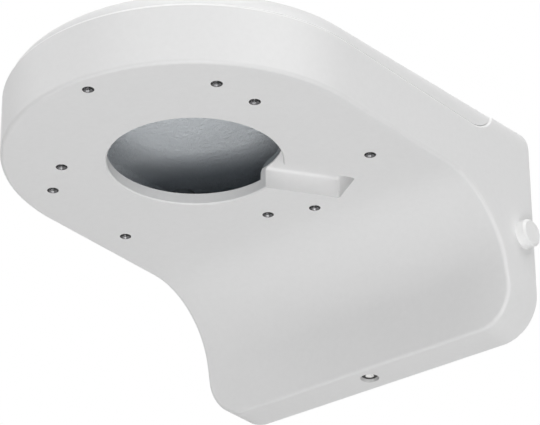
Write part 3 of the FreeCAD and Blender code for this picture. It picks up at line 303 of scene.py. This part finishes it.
def powder_coat(name, high):
    """Satin white powder coat with a fine orange peel, and the bare, coarser casting inside the arm, with
    painted light and shade there.
    """
    coat = grained(
        name, colours=((0.80, 0.80, 0.80), (0.815, 0.815, 0.815)), roughness=(0.42, 0.5),
        fine_scale=1500, coarse_scale=420, fine_share=0.35, relief=0.012 * MM)
    faces = coat.tree.nodes.new("ShaderNodeNewGeometry").outputs["True Normal"]
    inside = hollow_mask(coat.tree, coat.place, faces, high)
    # Painted highlight along the joint of the casting and the cover
    recolour(coat, joint_highlight_mask(coat.tree, coat.place, faces), JOINT_PAINTED_HIGHLIGHT)
    # Bare casting inside the arm, with painted light near the opening and painted shade deeper in and on
    # upright walls
    recolour(coat, inside, bare_casting_with_painted_shade(coat.tree, coat.place, faces))
    height = coat.bump["Height"].links[0].from_socket
    coarser = ranged(coat.tree, inside, 0.0, 1.0, 1.0, BARE_COARSENESS)
    feed(coat.tree, combine(coat.tree, "MULTIPLY", height, coarser), coat.bump["Height"])
    return coat.material


def cut_threads():
    """Cut metal in the tapped holes, coloured dark as painted shade and dark reflection, with a painted black
    shadow on the rim of each mouth.
    """
    # The dark metal colour stands in for shade and dark reflections in the holes
    metal = grained(
        "cut_threads", colours=((0.12, 0.12, 0.123), (0.18, 0.18, 0.184)), roughness=(0.16, 0.24),
        fine_scale=3500, coarse_scale=900, fine_share=0.6, relief=0.002 * MM, metallic=1.0)
    # Painted shadow: the thin rim at each mouth is coloured nearly black
    rim = combine(metal.tree, "LESS_THAN", along(metal.tree, metal.place, UP), PLATE_LOW + MOUTH_WALL)
    recolour(metal, rim, RIM_PAINTED_SHADOW)
    return metal.material


def steel_with_painted_reflections():
    """The lock screw's steel, coloured nearly black as a painted dark reflection, with a painted highlight in
    its socket.
    """
    steel = grained(
        "steel_with_painted_reflections", colours=((0.02, 0.02, 0.021), (0.05, 0.05, 0.05)), roughness=(0.16, 0.3),
        fine_scale=4000, coarse_scale=700, fine_share=0.5, relief=0.004 * MM, metallic=1.0)
    flat = combine_vectors(steel.tree, "MULTIPLY", steel.place, (1, 1, 0))
    away = combine_vectors(steel.tree, "DISTANCE", flat, LOCK_AXIS, "Value")
    # Painted highlight: the socket is coloured bright and not metallic
    socket_highlight = combine(steel.tree, "LESS_THAN", away, SOCKET_REACH)
    recolour(steel, socket_highlight, SOCKET_PAINTED_HIGHLIGHT)
    feed(steel.tree, combine(steel.tree, "SUBTRACT", 1.0, socket_highlight), steel.shader["Metallic"])
    return steel.material


def stainless():
    """Stainless steel of the cover screws."""
    return grained(
        "stainless_screw", colours=((0.50, 0.50, 0.49), (0.62, 0.62, 0.60)), roughness=(0.24, 0.38),
        fine_scale=4000, coarse_scale=700, fine_share=0.5, relief=0.004 * MM, metallic=1.0).material


def zinc_sheet():
    """Zinc-plated steel sheet, slightly cloudy and a little blue."""
    return grained(
        "zinc_plate", colours=((0.46, 0.49, 0.53), (0.66, 0.68, 0.70)), roughness=(0.3, 0.46),
        fine_scale=1800, coarse_scale=160, fine_share=0.3, relief=0.008 * MM, metallic=1.0).material


def rubber():
    """Dull black rubber."""
    return grained(
        "black_rubber", colours=((0.022, 0.022, 0.023), (0.045, 0.045, 0.046)), roughness=(0.6, 0.78),
        fine_scale=2600, coarse_scale=300, fine_share=0.5, relief=0.02 * MM).material


def nylon():
    """White moulded nylon, a little glossier than the paint."""
    return grained(
        "white_nylon", colours=((0.86, 0.86, 0.855), (0.88, 0.88, 0.88)), roughness=(0.36, 0.44),
        fine_scale=1800, coarse_scale=500, fine_share=0.5, relief=0.01 * MM).material


def dress():
    """Gives each node of the frame its finish."""
    black = rubber()
    finishes = {
        "bracket_body": powder_coat("white_powder_coat", CASTING_HIGH),
        "top_cover": powder_coat("white_powder_coat_cover", COVER_HIGH),
        "cable_plug": nylon(),
        "cover_screws": stainless(),
        "lock_screw": steel_with_painted_reflections(),
        "wall_hook_plate": zinc_sheet(),
        "wall_gasket": black,
        "cable_plug_seal": black,
    }
    for name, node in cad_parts.items():
        for slot in node.material_slots:
            slot.material = finishes[name]


def threaded_sleeve():
    """The closed sleeve in one hole, as a grid of points: the steps round it by the rings along it.

    At a turn u and p pitches up, its inside lies |2 frac(p - u) - 1| of the way from crest to root, a sharp
    groove that climbs one pitch a turn. Three rings at the plate's face make the rim and the cone of the
    mouth, and three outer rings that are buried in the casting close the sleeve.
    """
    turns = np.arange(STEPS_ROUND)[:, None] / STEPS_ROUND
    rings = round((THREAD_END - THREAD_START) / THREAD_PITCH * STEPS_PER_PITCH) + 1
    pitches = np.arange(rings) / STEPS_PER_PITCH
    groove = np.abs(2 * ((pitches - turns) % 1) - 1)
    reach = np.hstack([
        np.tile([MOUTH_RADIUS, MOUTH_INSIDE, THREAD_ROOT], (STEPS_ROUND, 1)),
        THREAD_CREST + (THREAD_ROOT - THREAD_CREST) * groove,
        np.tile([SLEEVE_RADIUS, SLEEVE_RADIUS, MOUTH_BACK], (STEPS_ROUND, 1)),
    ])
    height = np.concatenate([
        [PLATE_LOW, PLATE_LOW + MOUTH_WALL, PLATE_LOW + MOUTH_DEPTH],
        THREAD_START + THREAD_PITCH * pitches,
        [THREAD_END, THREAD_START + MOUTH_WALL, PLATE_LOW + MOUTH_WALL],
    ])
    angle = 2 * np.pi * turns
    return np.stack([reach * np.cos(angle), reach * np.sin(angle), np.broadcast_to(height, reach.shape)],
                    axis=-1)


def hole_centres():
    """The axes of the camera screw holes: equal steps round each circle, from its first hole on."""
    radius, first = np.array(HOLE_CIRCLES).T[:, :, None]
    turn = np.radians(first + 360 / HOLES_PER_CIRCLE * np.arange(HOLES_PER_CIRCLE))
    across = np.stack([radius * np.sin(turn), -radius * np.cos(turn), 0 * turn], axis=-1)
    return HEAD_AXIS + across.reshape(-1, 3)


def add_threads():
    """The mouths and cut threads of all camera screw holes, in one piece.

    Each face joins a point with the next ring's, both with those one step on, and both ways run on from
    the last to the first, so that every sleeve is closed.
    """
    places = hole_centres()[:, None, None, :] + threaded_sleeve()
    number = np.arange(places[..., 0].size).reshape(places.shape[:3])
    above = np.roll(number, -1, axis=2)
    faces = np.stack([number, above, np.roll(above, -1, axis=1), np.roll(number, -1, axis=1)], axis=-1)
    mesh = bpy.data.meshes.new("camera_screw_threads")
    mesh.from_pydata(places.reshape(-1, 3).tolist(), [], faces.reshape(-1, 4).tolist())
    mesh.materials.append(cut_threads())
    piece = bpy.data.objects.new("camera_screw_threads", mesh)
    bpy.context.scene.collection.objects.link(piece)
    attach(piece, "root")


def add_camera():
    """A camera below the bracket that looks up at it, rolled slightly about its own axis."""
    turn, rise = CAMERA_AZIMUTH, CAMERA_RISE
    ahead = Vector((-math.sin(turn) * math.cos(rise), math.cos(turn) * math.cos(rise), math.sin(rise)))
    right = Vector((math.cos(turn), math.sin(turn), 0))
    up = Vector((math.sin(turn) * math.sin(rise), -math.cos(turn) * math.sin(rise), math.cos(rise)))
    level = Matrix((right, up, -ahead)).transposed()
    roll = Matrix.Rotation(CAMERA_ROLL, 3, "Z")
    camera = bpy.data.cameras.new("camera")
    camera.sensor_width = SENSOR_WIDTH
    camera.lens = FOCAL_LENGTH
    camera.clip_end = FARTHEST_SEEN
    seen = bpy.data.objects.new("camera", camera)
    seen.matrix_world = Matrix.Translation(CAMERA_PLACE) @ (level @ roll).to_4x4()
    bpy.context.scene.collection.objects.link(seen)
    bpy.context.scene.camera = seen


def seen_ray(tree):
    """1 for the rays that see the background: camera, glossy and transmission rays."""
    path = tree.nodes.new("ShaderNodeLightPath").outputs
    either = combine(tree, "MAXIMUM", path["Is Camera Ray"], path["Is Glossy Ray"])
    return combine(tree, "MAXIMUM", either, path["Is Transmission Ray"])


def add_world():
    """An even light all round, which looks plain white."""
    world = bpy.data.worlds.new("studio")
    bpy.context.scene.world = world
    world.use_nodes = True
    tree = world.node_tree
    tree.nodes.clear()
    light = tree.nodes.new("ShaderNodeBackground")
    feed(tree, WHITE, light.inputs["Color"])
    feed(tree, WORLD_STRENGTH, light.inputs["Strength"])
    white = tree.nodes.new("ShaderNodeBackground")
    feed(tree, WHITE, white.inputs["Color"])
    mix = tree.nodes.new("ShaderNodeMixShader")
    output = tree.nodes.new("ShaderNodeOutputWorld")
    tree.links.new(seen_ray(tree), mix.inputs[0])
    tree.links.new(light.outputs[0], mix.inputs[1])
    tree.links.new(white.outputs[0], mix.inputs[2])
    tree.links.new(mix.outputs[0], output.inputs["Surface"])


def add_floor():
    """A plain pale floor, which looks brighter than the light that it gives back."""
    mesh = bpy.data.meshes.new("floor")
    square = ((-1, -1), (1, -1), (1, 1), (-1, 1))
    corners = [(x * FLOOR_REACH, y * FLOOR_REACH, FLOOR_HEIGHT) for x, y in square]
    mesh.from_pydata(corners, [], [range(len(corners))])
    material, tree, shader = new_material("floor", FLOOR_COLOUR, FLOOR_ROUGHNESS)
    feed(tree, WHITE, shader["Emission Color"])
    feed(tree, combine(tree, "MULTIPLY", seen_ray(tree), FLOOR_GLOW), shader["Emission Strength"])
    mesh.materials.append(material)
    floor = bpy.data.objects.new("floor", mesh)
    bpy.context.scene.collection.objects.link(floor)


def add_lamp(name, turn, rise, distance, width, power):
    """A round lamp aimed at the bracket, `turn` degrees from the front towards +X and `rise` degrees up."""
    turn, rise = math.radians(turn), math.radians(rise)
    away = Vector((math.sin(turn) * math.cos(rise), -math.cos(turn) * math.cos(rise), math.sin(rise)))
    lamp = bpy.data.lights.new(name, "AREA")
    lamp.shape = "DISK"
    lamp.size = width
    lamp.energy = power
    holder = bpy.data.objects.new(name, lamp)
    facing = away.to_track_quat("Z", "Y").to_matrix().to_4x4()
    holder.matrix_world = Matrix.Translation(BRACKET_MIDDLE + distance * away) @ facing
    bpy.context.scene.collection.objects.link(holder)


add_grain_group()
dress()
add_threads()
add_camera()
add_world()
add_floor()
for lamp in LAMPS:
    add_lamp(*lamp)
bpy.context.scene.view_settings.view_transform = "Standard"
